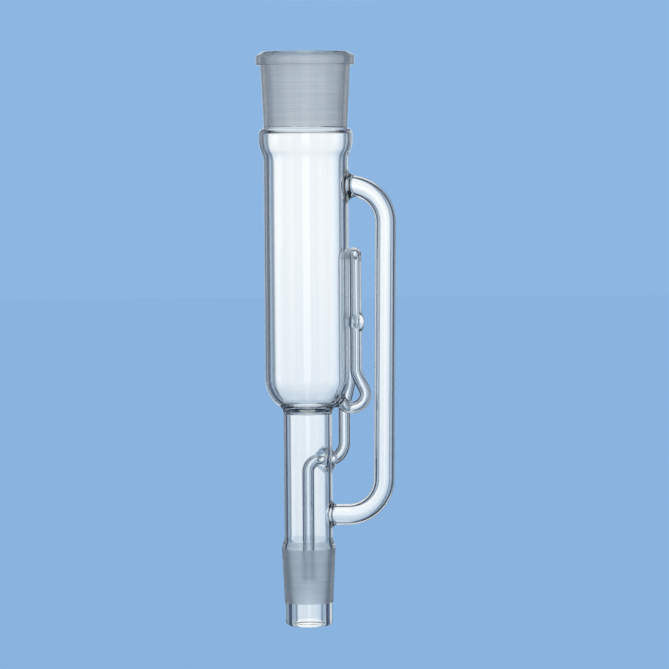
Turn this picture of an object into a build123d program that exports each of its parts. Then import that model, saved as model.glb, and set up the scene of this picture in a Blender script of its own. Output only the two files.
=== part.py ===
from build123d import *
import os
from math import asin, atan, cos, degrees, hypot, radians, sin, tan

# A soxhlet extractor blown and welded in one piece of borosilicate glass, in millimetres.
# The origin is on the axis at the wide end of the ground cone, +Z is up, +X points to
# the vapour tube, and the siphon's down leg lies on the +Y side.

# Ground cone, size 34/35, which seats in the flask
cone_d = 34.5
cone_length = 35.0
joint_taper = 0.1  # change of diameter along a ground joint, cone and socket alike
cone_bore_d = 28.0  # at the wide end
tip_length = 15.0  # clear glass below the ground zone
tip_d = 30.1
tip_bore_d = 21.8
tip_round = 2.6
tip_bore_round = 1.5
collar_height = 0.9  # fire-polished edge above the ground zone
collar_round = 0.6
flare_height = 4.6
flare_round = 4.0
bore_flare_height = 5.0

# Lower tube, from the cone to the chamber
lower_d = 31.0
lower_wall = 2.3

# Extraction chamber, a vessel with a closed round bottom
chamber_d = 54.0
chamber_wall = 3.2
chamber_foot = 86.0  # middle of its underside above the cone's wide end
chamber_length = 161.0  # from there to the shoulder
bottom_round = 22.0  # outside, at the wall
bottom_dish = 43.0  # outside, in the middle
neck_round = 6.5
neck_bore_round = 1.6

# Bulge between the chamber and the socket
bulge_d = 59.9
bulge_wall = 3.0
bulge_rise = 13.5
bulge_band = 4.0  # upright part at the widest place
bulge_top_round = 4.0
bulge_top_turn = 70.0  # degrees
waist_round = 0.8

# Ground socket, size 50/42, which takes the condenser
socket_d = 50.0
socket_length = 44.0
socket_wall = 3.9
socket_rise = 8.9  # narrow end above the foot of the bulge's upright part
bead_d = 63.0
bead_height = 9.9
bead_fall = 4.0  # its top slopes down to the outside
bead_round = 2.0
bead_under_round = 1.2
mouth_rise = 4.9  # bead's top above the socket's wide end
mouth_round = 1.6

# Vapour tube
vapour_d = 13.4
vapour_wall = 2.0
vapour_reach = 50.9  # centre line from the axis, at the top
vapour_foot_reach = 48.5
vapour_drop = 15.3  # top centre line below the shoulder
vapour_foot_rise = 21.1  # foot centre line above the cone's wide end
vapour_bend = 23.5
vapour_foot_bend = 23.0
vapour_weld = 4.3
vapour_foot_weld = 2.8
vapour_mouth_round = 1.2

# Siphon tube
siphon_d = 7.7
siphon_bore_d = 3.7
siphon_gap = 0.3  # clear of the chamber's wall
siphon_turn = 30.0  # degrees round the chamber, from the up leg to the down leg
siphon_height = 98.8  # top centre line above the chamber's floor
hairpin_bend = 5.5
hairpin_bow = 9.0
loop_reach = 42.2  # corner under the loop, from the axis
loop_rise = 3.8  # loop's lowest centre line above the chamber's foot
loop_lean = 26.5  # degrees from upright
loop_bend = 8.4
loop_top_bend = 12.0
intake_corner = 25.3  # from the axis
intake_inset = 8.8  # start of the bore inside the chamber
intake_bend = 4.2
intake_weld = 2.8
return_drop = 30.3  # inlet to the lower tube, below the chamber's foot
return_reach = 27.0  # down leg below the chamber, from the axis
return_bend = 11.0
inset_top = 18.0  # the down leg slants in between these heights above the chamber's foot
inset_foot = 2.0
inset_bend = 12.0
return_weld = 2.4
seal_d = 21.0  # swelling where the siphon passes through the lower tube's wall
seal_reach = 9.0  # its middle from the axis
seal_round = 1.8  # where the siphon runs into it
drip_bend = 7.0
drip_end = 21.0  # below the cone's wide end
drip_weld = 3.2
drip_end_round = 0.6
intake_mouth_round = 0.7

# Knob blown on the up leg and welded to the chamber
knob_d = 10.2
knob_length = 12.4
knob_end_d = 6.5  # where the swelling starts, inside the leg
knob_offset = 0.5  # its middle beyond the leg's, away from the chamber
knob_bore_d = 6.6
knob_bore_length = 11.0
knob_bore_offset = 1.6
knob_drop = 43.4  # centre below the siphon's top

# Heights and radii that follow from the sizes above
cone_r = cone_d / 2
cone_small_r = cone_r - cone_length * joint_taper / 2
tip_z = -cone_length - tip_length
lower_r = lower_d / 2
lower_bore_r = lower_r - lower_wall
chamber_r = chamber_d / 2
chamber_bore_r = chamber_r - chamber_wall
shoulder_z = chamber_foot + chamber_length
bulge_z = shoulder_z + bulge_rise
socket_z = bulge_z + socket_rise
gauge_z = socket_z + socket_length
socket_small_r = (socket_d - socket_length * joint_taper) / 2
mouth_z = gauge_z + mouth_rise
mouth_r = (socket_d + mouth_rise * joint_taper) / 2
bead_z = mouth_z - bead_height
siphon_r = siphon_d / 2
siphon_bore_r = siphon_bore_d / 2
vapour_r = vapour_d / 2
vapour_z = shoulder_z - vapour_drop

# The bottom is two arcs: a flat dish in the middle and a rounder edge to the wall
dish_turn = asin((chamber_r - bottom_round) / (bottom_dish - bottom_round))
bottom_depth = bottom_dish - (bottom_dish - bottom_round) * cos(dish_turn)
bottom_z = chamber_foot + bottom_depth
floor_z = chamber_foot + chamber_wall

leg_reach = chamber_r + siphon_gap + siphon_r
siphon_top = floor_z + siphon_height
knob_z = siphon_top - knob_drop
loop_z = chamber_foot + loop_rise
loop_top_z = loop_z + (loop_reach - leg_reach) / tan(radians(loop_lean))
return_z = chamber_foot - return_drop
down_leg_x = cos(radians(siphon_turn))  # direction from the axis
down_leg_y = sin(radians(siphon_turn))

# The turned forms are drawn on the side away from the tubes, which keeps their seams
# clear of the welds
far_side = Plane((0, 0, 0), x_dir=(-1, 0, 0), z_dir=(0, 1, 0))
near = 0.01  # an edge this close to a place is picked as lying on it


def vessel_side(wall):
    # The side from the middle of the bottom to the top of the bulge. With wall it is
    # the inside of the glass, and with none the outside.
    bulge_in = bulge_wall if wall else 0
    widening = bulge_d / 2 - bulge_in - chamber_r + wall
    lean = 2 * atan(widening / bulge_rise)
    sweep_r = bulge_rise / (2 * sin(lean))
    dish = JernArc((0, chamber_foot + wall), (1, 0), bottom_dish - wall, degrees(dish_turn))
    edge = JernArc(dish @ 1, dish % 1, bottom_round - wall, 90 - degrees(dish_turn))
    side = Line(edge @ 1, (chamber_r - wall, shoulder_z))
    hollow = JernArc(side @ 1, (0, 1), sweep_r, -degrees(lean))
    crown = JernArc(hollow @ 1, hollow % 1, sweep_r, degrees(lean))
    band_top = (crown @ 1) + Vector(0, bulge_band)
    band = Line(crown @ 1, band_top)
    top = JernArc(band @ 1, (0, 1), bulge_top_round - bulge_in, bulge_top_turn)
    return top @ 1


def vessel_outside():
    # Chamber, bulge, socket and bead
    top = vessel_side(0)
    waist_r = socket_small_r + socket_wall
    waist_z = top.Y + (top.X - waist_r) / tan(radians(bulge_top_turn))
    FilletPolyline(
        top,
        (waist_r, waist_z),
        (waist_r, socket_z),
        (waist_r + (bead_z - socket_z) * joint_taper / 2, bead_z),
        (bead_d / 2, bead_z),
        (bead_d / 2, mouth_z - bead_fall),
        (mouth_r, mouth_z),
        (0, mouth_z),
        (0, chamber_foot),
        radius=(waist_round, 0, 0, bead_under_round, bead_round, 0, 0),
    )


def vessel_inside():
    # Space in the chamber and the ground bore of the socket
    top = vessel_side(chamber_wall)
    Polyline(top, (socket_small_r, socket_z), (mouth_r, mouth_z), (0, mouth_z), (0, floor_z))


def cone_outside():
    # Tip, ground cone and lower tube, up into the chamber's bottom
    FilletPolyline(
        (0, bottom_z),
        (0, tip_z),
        (tip_d / 2, tip_z),
        (tip_d / 2, -cone_length),
        (cone_small_r, -cone_length),
        (cone_r, 0),
        (cone_r, collar_height),
        (lower_r, collar_height + flare_height),
        (lower_r, bottom_z),
        radius=(0, tip_round, 0, 0, 0, collar_round, flare_round),
    )
    Line((lower_r, bottom_z), (0, bottom_z))


def cone_inside():
    # Space in the lower tube and the cone, up into the chamber's bottom
    Polyline(
        (0, bottom_z),
        (0, tip_z),
        (tip_bore_d / 2, tip_z),
        (tip_bore_d / 2, -cone_length),
        (cone_bore_d / 2, 0),
        (lower_bore_r, bore_flare_height),
        (lower_bore_r, bottom_z),
        (0, bottom_z),
    )


def knob_outside():
    # Swelling on the up leg, closed along its own upright axis
    axis_x = leg_reach + knob_offset
    end_x = axis_x + knob_end_d / 2
    low = knob_z - knob_length / 2
    high = knob_z + knob_length / 2
    ThreePointArc((end_x, low), (axis_x + knob_d / 2, knob_z), (end_x, high))
    Polyline((end_x, high), (axis_x, high), (axis_x, low), (end_x, low))


def knob_inside():
    # Space in the swelling, pointed at both ends, which lie in the leg's bore
    axis_x = leg_reach + knob_bore_offset
    low = (axis_x, knob_z - knob_bore_length / 2)
    high = (axis_x, knob_z + knob_bore_length / 2)
    ThreePointArc(low, (axis_x + knob_bore_d / 2, knob_z), high)
    Line(high, low)


def ring(radius, height):
    # Picks a level circle about the axis
    def picked(edge):
        start = edge @ 0
        return abs(hypot(start.X, start.Y) - radius) < near and abs(start.Z - height) < near

    return picked


def on_wall(radius, direction_x, direction_y, height, reach):
    # Picks the edges on an upright round wall that are within reach of a spot on it
    spot = Vector(radius * direction_x, radius * direction_y, height)

    def picked(edge):
        points = [edge @ share for share in (0, 0.3, 0.6, 1)]
        flush = all(abs(hypot(p.X, p.Y) - radius) < near for p in points)
        return flush and all((p - spot).length < reach for p in points)

    return picked


def on_bottom(radius, reach):
    # Picks the edges on the round edge of the chamber's bottom, near the siphon's intake
    middle_r = chamber_r - bottom_round
    spot = Vector(intake_corner - intake_inset / 2, 0, loop_z + intake_inset / 2)

    def picked(edge):
        points = [edge @ share for share in (0, 0.3, 0.6, 1)]
        depths = [hypot(hypot(p.X, p.Y) - middle_r, p.Z - bottom_z) for p in points]
        flush = all(abs(depth - radius) < near for depth in depths)
        return flush and all((p - spot).length < reach for p in points)

    return picked


seal_middle = Vector(seal_reach * down_leg_x, seal_reach * down_leg_y, return_z)


def on_seal(edge):
    # Picks the edge where the siphon runs into the swelling at its inlet
    points = [edge @ share for share in (0, 0.3, 0.6, 1)]
    far = lower_r + siphon_bore_r
    return all(abs((p - seal_middle).length - seal_d / 2) < near and hypot(p.X, p.Y) > far for p in points)


# Centre line of the vapour tube, from inside the chamber to inside the lower tube
with BuildLine() as vapour_route:
    FilletPolyline(
        (chamber_bore_r / 2, 0, vapour_z),
        (vapour_reach, 0, vapour_z),
        (vapour_foot_reach, 0, vapour_foot_rise),
        ((lower_bore_r + siphon_r) / 2, 0, vapour_foot_rise),
        radius=(vapour_bend, vapour_foot_bend),
    )

# Centre line of the siphon: intake, loop, up leg, hairpin round the chamber, down leg
# and drip tube
with BuildLine() as siphon_route:
    FilletPolyline(
        (intake_corner - intake_inset, 0, loop_z + intake_inset),
        (intake_corner, 0, loop_z),
        (loop_reach, 0, loop_z),
        (leg_reach, 0, loop_top_z),
        (leg_reach, 0, siphon_top),
        (leg_reach, leg_reach * tan(radians(siphon_turn / 2)), siphon_top),
        (leg_reach * down_leg_x, leg_reach * down_leg_y, siphon_top),
        (leg_reach * down_leg_x, leg_reach * down_leg_y, chamber_foot + inset_top),
        (return_reach * down_leg_x, return_reach * down_leg_y, chamber_foot + inset_foot),
        (return_reach * down_leg_x, return_reach * down_leg_y, return_z),
        (0, 0, return_z),
        (0, 0, -drip_end),
        radius=(
            intake_bend,
            loop_bend,
            loop_top_bend,
            hairpin_bend,
            hairpin_bow,
            hairpin_bend,
            inset_bend,
            inset_bend,
            return_bend,
            drip_bend,
        ),
    )

# The drip tube's own centre line, from the middle of the lower tube's wall
wall_middle = lower_r - lower_wall / 2
with BuildLine() as drip_route:
    FilletPolyline(
        (wall_middle * down_leg_x, wall_middle * down_leg_y, return_z),
        (0, 0, return_z),
        (0, 0, -drip_end),
        radius=drip_bend,
    )

vapour = vapour_route.line
siphon = siphon_route.line
drip = drip_route.line

with BuildPart() as extractor:
    # Cone and lower tube, then the chamber and socket, as solid forms
    with BuildSketch(far_side):
        with BuildLine():
            cone_outside()
        make_face()
    revolve(axis=Axis.Z)
    with BuildSketch(far_side):
        with BuildLine():
            vessel_outside()
        make_face()
    revolve(axis=Axis.Z)
    neck = extractor.edges().filter_by(on_wall(lower_r, 1, 0, chamber_foot, lower_d + bottom_round))
    fillet(neck.sort_by(Axis.Z)[-1], neck_round)

    # Vapour tube, flared where it is welded on
    with BuildSketch(Plane(origin=vapour @ 0, z_dir=vapour % 0)):
        Circle(vapour_r)
    sweep(path=vapour)
    top_seam = on_wall(chamber_r, 1, 0, vapour_z, vapour_d)
    fillet(extractor.edges().filter_by(top_seam), vapour_weld)
    foot_seam = on_wall(lower_r, 1, 0, vapour_foot_rise, vapour_d)
    fillet(extractor.edges().filter_by(foot_seam), vapour_foot_weld)

    # Siphon tube
    with BuildSketch(Plane(origin=siphon @ 0, z_dir=siphon % 0)):
        Circle(siphon_r)
    sweep(path=siphon)
    fillet(extractor.edges().filter_by(on_bottom(bottom_round, 2 * siphon_d)), intake_weld)
    with Locations(seal_middle):
        Sphere(seal_d / 2)
    inlet = on_wall(lower_r, down_leg_x, down_leg_y, return_z, seal_d)
    fillet(extractor.edges().filter_by(inlet), return_weld)
    fillet(extractor.edges().filter_by(on_seal), seal_round)
    with BuildSketch(Plane.XZ):
        with BuildLine():
            knob_outside()
        make_face()
    revolve(axis=Axis((leg_reach + knob_offset, 0, 0), (0, 0, 1)))

    # Space in the lower tube and cone, closed above by the chamber's bottom
    with BuildSketch(far_side):
        with BuildLine():
            cone_inside()
        make_face()
        with BuildLine():
            vessel_outside()
        make_face(mode=Mode.SUBTRACT)
    revolve(axis=Axis.Z, mode=Mode.SUBTRACT)
    corner = extractor.edges().filter_by(on_wall(lower_bore_r, 1, 0, chamber_foot, 2 * lower_d))
    fillet(corner.sort_by(Axis.Z)[-1], neck_bore_round)

    # Drip tube inside the lower tube
    with BuildSketch(Plane(origin=drip @ 0, z_dir=drip % 0)):
        Circle(siphon_r)
    sweep(path=drip)
    inner_inlet = on_wall(lower_bore_r, down_leg_x, down_leg_y, return_z, siphon_d)
    fillet(extractor.edges().filter_by(inner_inlet), drip_weld)
    drip_ring = extractor.edges().filter_by(GeomType.CIRCLE).filter_by(ring(siphon_r, -drip_end))
    fillet(drip_ring, drip_end_round)

    # Space in the chamber and the socket
    with BuildSketch(far_side):
        with BuildLine():
            vessel_inside()
        make_face()
    revolve(axis=Axis.Z, mode=Mode.SUBTRACT)
    level_circles = extractor.edges().filter_by(GeomType.CIRCLE)
    fillet(level_circles.filter_by(ring(mouth_r, mouth_z)), mouth_round)
    level_circles = extractor.edges().filter_by(GeomType.CIRCLE)
    fillet(level_circles.filter_by(ring(tip_bore_d / 2, tip_z)), tip_bore_round)

    # Bores of the vapour tube and the siphon, rounded where they open
    with BuildSketch(Plane(origin=vapour @ 0, z_dir=vapour % 0)):
        Circle(vapour_r - vapour_wall)
    sweep(path=vapour, mode=Mode.SUBTRACT)
    top_mouth = on_wall(chamber_bore_r, 1, 0, vapour_z, vapour_d)
    fillet(extractor.edges().filter_by(top_mouth), vapour_mouth_round)
    foot_mouth = on_wall(lower_bore_r, 1, 0, vapour_foot_rise, vapour_d)
    fillet(extractor.edges().filter_by(foot_mouth), vapour_mouth_round)
    with BuildSketch(Plane(origin=siphon @ 0, z_dir=siphon % 0)):
        Circle(siphon_bore_r)
    sweep(path=siphon, mode=Mode.SUBTRACT)
    intake_mouth = on_bottom(bottom_round - chamber_wall, 2 * siphon_d)
    fillet(extractor.edges().filter_by(intake_mouth), intake_mouth_round)
    with BuildSketch(Plane.XZ):
        with BuildLine():
            knob_inside()
        make_face()
    revolve(axis=Axis((leg_reach + knob_bore_offset, 0, 0), (0, 0, 1)), mode=Mode.SUBTRACT)

extractor.part.label = "extractor"
os.makedirs("parts", exist_ok=True)
export_step(extractor.part, "parts/extractor.step")
print("extractor", extractor.part.is_valid, "volume", round(extractor.part.volume))
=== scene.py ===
import math

import bmesh
import bpy
from mathutils import Matrix, Vector

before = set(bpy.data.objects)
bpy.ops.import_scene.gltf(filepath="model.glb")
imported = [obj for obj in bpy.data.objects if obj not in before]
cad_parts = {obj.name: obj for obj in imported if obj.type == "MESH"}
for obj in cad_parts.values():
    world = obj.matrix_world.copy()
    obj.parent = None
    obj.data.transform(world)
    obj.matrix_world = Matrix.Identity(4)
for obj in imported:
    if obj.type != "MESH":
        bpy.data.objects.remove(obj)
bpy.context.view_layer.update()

print("frame loaded:", sorted(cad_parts))


def linearColour(hexColour, alpha=1.0):
    # sRGB hex to the linear values that Blender's sockets hold
    channels = [int(hexColour[i:i + 2], 16) / 255 for i in (1, 3, 5)]
    return tuple(c / 12.92 if c <= 0.04045 else ((c + 0.055) / 1.055) ** 2.4 for c in channels) + (alpha,)


def addNode(tree, kind, settings=(), links=()):
    # One node, with its own settings, values for sockets, and links into sockets
    node = tree.nodes.new(kind)
    for name, value in dict(settings).items():
        if isinstance(name, int) or name in node.inputs.keys():
            node.inputs[name].default_value = value
        else:
            setattr(node, name, value)
    for name, source in dict(links).items():
        tree.links.new(source, node.inputs[name])
    return node


def rampStops(node, stops):
    ramp = node.color_ramp
    while len(ramp.elements) < len(stops):
        ramp.elements.new(1.0)
    for element, (position, colour) in zip(ramp.elements, stops):
        element.position = position
        element.color = linearColour(colour)


# Surround: what the clear glass bends into view. Lit panels stand all round at even
# turns, with dark cards between them, as in a studio set for glass.
surround = {
    "backdrop": "#8DB7E2",     # seen past the object
    "strength": 1.06,          # makes up for what four glass surfaces reflect
    "panelSpacing": 45.0,      # degrees, for light that has crossed a hollow
    "panels": [                # degrees from the middle of a panel, and colour
        (-22.0, "#B4C8DC"),
        (-18.5, "#B4C8DC"),
        (-17.0, "#8795A5"),
        (-12.5, "#8795A5"),
        (-10.5, "#FFFFFF"),
        (4.0, "#FFFFFF"),
        (10.5, "#D4E1F0"),
        (12.5, "#8795A5"),
        (17.0, "#8795A5"),
        (18.5, "#B4C8DC"),
    ],
    "falls": [                 # degrees above the horizon, multiplied with the panels
        (-60.0, "#B4C4D6"),
        (-20.0, "#C4D2E0"),
        (-9.0, "#DAE4EE"),
        (-4.5, "#F0F4FA"),
        (-1.5, "#FFFFFF"),
        (60.0, "#FFFFFF"),
    ],
    "cardSpacing": 90.0,       # degrees, for light that has stayed in a wall or a rod
    "cards": [
        (-44.0, "#2E4058"),
        (-30.0, "#2E4058"),
        (-27.0, "#788CA0"),
        (-12.0, "#788CA0"),
        (-9.5, "#FFFFFF"),
        (9.5, "#FFFFFF"),
        (12.0, "#788CA0"),
        (27.0, "#788CA0"),
        (30.0, "#2E4058"),
        (44.0, "#2E4058"),
    ],
    "levels": [                # degrees above the horizon, multiplied with the cards
        (-88.0, "#DCE6F0"),
        (-60.0, "#DCE6F0"),
        (-50.0, "#405468"),
        (-30.0, "#405468"),
        (-24.0, "#B4C0CC"),
        (-14.0, "#FFFFFF"),
        (14.0, "#FFFFFF"),
        (24.0, "#B4C0CC"),
        (30.0, "#405468"),
        (50.0, "#405468"),
        (60.0, "#FFFFFF"),
        (88.0, "#FFFFFF"),
    ],
}


def turnShare(tree, azimuth, spacing):
    # Place between two panels' far edges, as a share of their spacing, 0.5 in a panel's middle
    turn = math.radians(spacing)
    moved = addNode(tree, "ShaderNodeMath", {"operation": "ADD", 1: turn / 2}, {0: azimuth})
    folded = addNode(tree, "ShaderNodeMath", {"operation": "FLOORED_MODULO", 1: turn}, {0: moved.outputs[0]})
    return addNode(tree, "ShaderNodeMath", {"operation": "DIVIDE", 1: turn}, {0: folded.outputs[0]}).outputs[0]


def degreeStops(stops, span):
    # Stops at degrees from the middle, as shares of the span
    return [(turn / span + 0.5, colour) for turn, colour in stops]


def makeWorld(s):
    world = bpy.data.worlds.new("studioSurround")
    bpy.context.scene.world = world
    world.use_nodes = True
    tree = world.node_tree
    tree.nodes.clear()
    direction = addNode(tree, "ShaderNodeTexCoord")
    parts = addNode(tree, "ShaderNodeSeparateXYZ", {}, {0: direction.outputs["Generated"]})
    azimuth = addNode(tree, "ShaderNodeMath", {"operation": "ARCTAN2"}, {
        0: parts.outputs["X"], 1: parts.outputs["Y"]}).outputs[0]

    panels = addNode(tree, "ShaderNodeValToRGB", {}, {0: turnShare(tree, azimuth, s["panelSpacing"])})
    rampStops(panels, degreeStops(s["panels"], s["panelSpacing"]))
    cards = addNode(tree, "ShaderNodeValToRGB", {}, {0: turnShare(tree, azimuth, s["cardSpacing"])})
    rampStops(cards, degreeStops(s["cards"], s["cardSpacing"]))
    rise = addNode(tree, "ShaderNodeMath", {"operation": "ARCSINE"}, {0: parts.outputs["Z"]})
    riseShare = addNode(tree, "ShaderNodeMath", {"operation": "MULTIPLY_ADD", 1: 1 / math.pi, 2: 0.5}, {
        0: rise.outputs[0]})
    falls = addNode(tree, "ShaderNodeValToRGB", {}, {0: riseShare.outputs[0]})
    rampStops(falls, degreeStops(s["falls"], 180.0))
    shadedPanels = addNode(tree, "ShaderNodeMix", {"data_type": "RGBA", "blend_type": "MULTIPLY", 0: 1.0}, {
        6: panels.outputs[0], 7: falls.outputs[0]})
    levels = addNode(tree, "ShaderNodeValToRGB", {}, {0: riseShare.outputs[0]})
    rampStops(levels, degreeStops(s["levels"], 180.0))
    shadedCards = addNode(tree, "ShaderNodeMix", {"data_type": "RGBA", "blend_type": "MULTIPLY", 0: 1.0}, {
        6: cards.outputs[0], 7: levels.outputs[0]})

    path = addNode(tree, "ShaderNodeLightPath")
    # Light that has crossed a hollow passes four surfaces, and light that has stayed in
    # a wall or rod passes two
    crossed = addNode(tree, "ShaderNodeMath", {"operation": "MODULO", 1: 4.0}, {
        0: path.outputs["Transmission Depth"]})
    stayed = addNode(tree, "ShaderNodeMath", {"operation": "COMPARE", 1: 2.0, 2: 0.5}, {0: crossed.outputs[0]})
    seenThroughGlass = addNode(tree, "ShaderNodeMix", {"data_type": "RGBA"}, {
        0: stayed.outputs[0], 6: shadedPanels.outputs[2], 7: shadedCards.outputs[2]})
    glassLight = addNode(tree, "ShaderNodeBackground", {"Strength": s["strength"]}, {
        "Color": seenThroughGlass.outputs[2]})
    backdrop = addNode(tree, "ShaderNodeBackground", {"Color": linearColour(s["backdrop"]), "Strength": 1.0})
    both = addNode(tree, "ShaderNodeMixShader", {}, {
        0: path.outputs["Is Camera Ray"], 1: glassLight.outputs[0], 2: backdrop.outputs[0]})
    addNode(tree, "ShaderNodeOutputWorld", {}, {"Surface": both.outputs[0]})


makeWorld(surround)
print("surround made")


# Borosilicate glass, drawn, blown and flame-welded: colourless and quite clear, with
# bright rims and dark lines only where its walls are seen edge on. The two joints are
# ground with emery, which leaves them matt grey with fine level streaks.
glass = {
    "tint": "#FBFDFE",
    "bodyTint": "#9CC8CC",          # what thick welds and long paths in a wall take on
    "bodyDensity": 8.0,             # per metre
    "ior": 1.473,
    "groundTint": ("#DEE3E6", "#F2F5F7"),
    "groundClear": 0.95,            # share of light that passes, the rest is scattered back
    "groundRoughness": 0.55,
    "coneZone": (-0.035, 0.0),      # metres up the axis
    "coneReach": 0.0146,            # the ground face lies outside this radius
    "socketZone": (0.2694, 0.3138),
    "socketReach": 0.0258,          # and here inside this one
    "streakSpacing": 0.0009,        # real grinding streaks are finer, drawn coarse enough to show
    "streakLength": 0.05,           # how far a streak runs round the joint
    "streakRange": (0.35, 0.65),    # share of the noise that the two tints span
    "streakDepth": 0.0002,
    "streakStrength": 0.25,
}


def makeGlass(g):
    material = bpy.data.materials.new("borosilicateGlassFlameWorked")
    material.use_nodes = True
    tree = material.node_tree
    tree.nodes.clear()
    place = addNode(tree, "ShaderNodeTexCoord").outputs["Object"]
    parts = addNode(tree, "ShaderNodeSeparateXYZ", {}, {0: place})
    flat = addNode(tree, "ShaderNodeVectorMath", {"operation": "MULTIPLY", 1: (1, 1, 0)}, {0: place})
    reach = addNode(tree, "ShaderNodeVectorMath", {"operation": "LENGTH"}, {0: flat.outputs[0]}).outputs["Value"]

    def between(low, high):
        above = addNode(tree, "ShaderNodeMath", {"operation": "GREATER_THAN", 1: low}, {0: parts.outputs["Z"]})
        below = addNode(tree, "ShaderNodeMath", {"operation": "LESS_THAN", 1: high}, {0: parts.outputs["Z"]})
        return addNode(tree, "ShaderNodeMath", {"operation": "MULTIPLY"}, {
            0: above.outputs[0], 1: below.outputs[0]}).outputs[0]

    outside = addNode(tree, "ShaderNodeMath", {"operation": "GREATER_THAN", 1: g["coneReach"]}, {0: reach})
    inside = addNode(tree, "ShaderNodeMath", {"operation": "LESS_THAN", 1: g["socketReach"]}, {0: reach})
    cone = addNode(tree, "ShaderNodeMath", {"operation": "MULTIPLY"}, {
        0: between(*g["coneZone"]), 1: outside.outputs[0]})
    socket = addNode(tree, "ShaderNodeMath", {"operation": "MULTIPLY"}, {
        0: between(*g["socketZone"]), 1: inside.outputs[0]})
    ground = addNode(tree, "ShaderNodeMath", {"operation": "ADD"}, {0: cone.outputs[0], 1: socket.outputs[0]})

    across = 1 / g["streakLength"]
    stretched = addNode(tree, "ShaderNodeMapping", {"Scale": (across, across, 1 / g["streakSpacing"])}, {
        "Vector": place})
    streaks = addNode(tree, "ShaderNodeTexNoise", {"Scale": 1.0, "Detail": 3.0}, {"Vector": stretched.outputs[0]})
    bump = addNode(tree, "ShaderNodeBump", {"Strength": g["streakStrength"], "Distance": g["streakDepth"]}, {
        "Height": streaks.outputs["Fac"]})
    clear = addNode(tree, "ShaderNodeBsdfPrincipled", {
        "Base Color": linearColour(g["tint"]), "Roughness": 0.0, "IOR": g["ior"], "Transmission Weight": 1.0})
    shades = addNode(tree, "ShaderNodeValToRGB", {}, {0: streaks.outputs["Fac"]})
    rampStops(shades, list(zip(g["streakRange"], g["groundTint"])))
    matt = addNode(tree, "ShaderNodeBsdfPrincipled", {
        "Roughness": g["groundRoughness"], "IOR": g["ior"], "Transmission Weight": g["groundClear"]}, {
        "Base Color": shades.outputs[0], "Normal": bump.outputs[0]})
    mix = addNode(tree, "ShaderNodeMixShader", {}, {0: ground.outputs[0], 1: clear.outputs[0], 2: matt.outputs[0]})
    body = addNode(tree, "ShaderNodeVolumeAbsorption", {
        "Color": linearColour(g["bodyTint"]), "Density": g["bodyDensity"]})
    addNode(tree, "ShaderNodeOutputMaterial", {}, {"Surface": mix.outputs[0], "Volume": body.outputs[0]})
    return material


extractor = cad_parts["extractor"]
extractor.data.materials.clear()
extractor.data.materials.append(makeGlass(glass))
print("glass made")


# Floor below the hanging object: matt painted board in the backdrop's own blue, which
# leaves the glass as the only thing with edges
floorPlan = {
    "height": -0.36,
    "reach": 12.0,
    "colour": "#8DB7E2",
    "shadowShare": 0.15,       # how much of the floor's own shading shows
}


def makeFloor(f):
    bm = bmesh.new()
    bmesh.ops.create_grid(bm, x_segments=1, y_segments=1, size=f["reach"])
    bmesh.ops.translate(bm, verts=bm.verts, vec=(0, 0, f["height"]))
    mesh = bpy.data.meshes.new("studioFloor")
    bm.to_mesh(mesh)
    bm.free()
    floor = bpy.data.objects.new("studioFloor", mesh)
    bpy.context.scene.collection.objects.link(floor)
    material = bpy.data.materials.new("paintedBoardMatt")
    material.use_nodes = True
    tree = material.node_tree
    tree.nodes.clear()
    path = addNode(tree, "ShaderNodeLightPath")
    shade = addNode(tree, "ShaderNodeBsdfDiffuse", {"Color": linearColour(f["colour"])})
    glow = addNode(tree, "ShaderNodeEmission", {"Color": linearColour(f["colour"]), "Strength": 1.0})
    seen = addNode(tree, "ShaderNodeMixShader", {0: 1 - f["shadowShare"]}, {
        1: shade.outputs[0], 2: glow.outputs[0]})
    through = addNode(tree, "ShaderNodeBsdfTransparent")
    glassRay = addNode(tree, "ShaderNodeMath", {"operation": "MAXIMUM"}, {
        0: path.outputs["Is Glossy Ray"], 1: path.outputs["Is Transmission Ray"]})
    direct = addNode(tree, "ShaderNodeMixShader", {}, {
        0: path.outputs["Is Camera Ray"], 1: shade.outputs[0], 2: seen.outputs[0]})
    both = addNode(tree, "ShaderNodeMixShader", {}, {
        0: glassRay.outputs[0], 1: direct.outputs[0], 2: through.outputs[0]})
    addNode(tree, "ShaderNodeOutputMaterial", {}, {"Surface": both.outputs[0]})
    mesh.materials.append(material)


makeFloor(floorPlan)
print("floor made")


# Camera, level with the upper part of the chamber and a little to the right of it
view = {
    "distance": 2.2,
    "aim": (0.0175, 0.0, 0.1366),
    "pitch": 3.1,              # degrees downwards
    "roll": 0.41,
    "fieldOfView": 11.1,
    "sensorWidth": 36.0,       # millimetres
    "farthest": 50.0,
}


def makeCamera(v):
    data = bpy.data.cameras.new("photoCamera")
    data.sensor_width = v["sensorWidth"]
    data.lens = v["sensorWidth"] / 2 / math.tan(math.radians(v["fieldOfView"] / 2))
    data.clip_end = v["farthest"]
    camera = bpy.data.objects.new("photoCamera", data)
    bpy.context.scene.collection.objects.link(camera)
    pitch = math.radians(v["pitch"])
    look = Vector((0, math.cos(pitch), -math.sin(pitch)))
    level = look.to_track_quat("-Z", "Y").to_matrix().to_4x4()
    turned = level @ Matrix.Rotation(math.radians(-v["roll"]), 4, "Z")
    camera.matrix_world = Matrix.Translation(Vector(v["aim"]) - look * v["distance"]) @ turned
    bpy.context.scene.camera = camera


makeCamera(view)
bpy.context.scene.view_settings.view_transform = "Standard"
print("camera set")
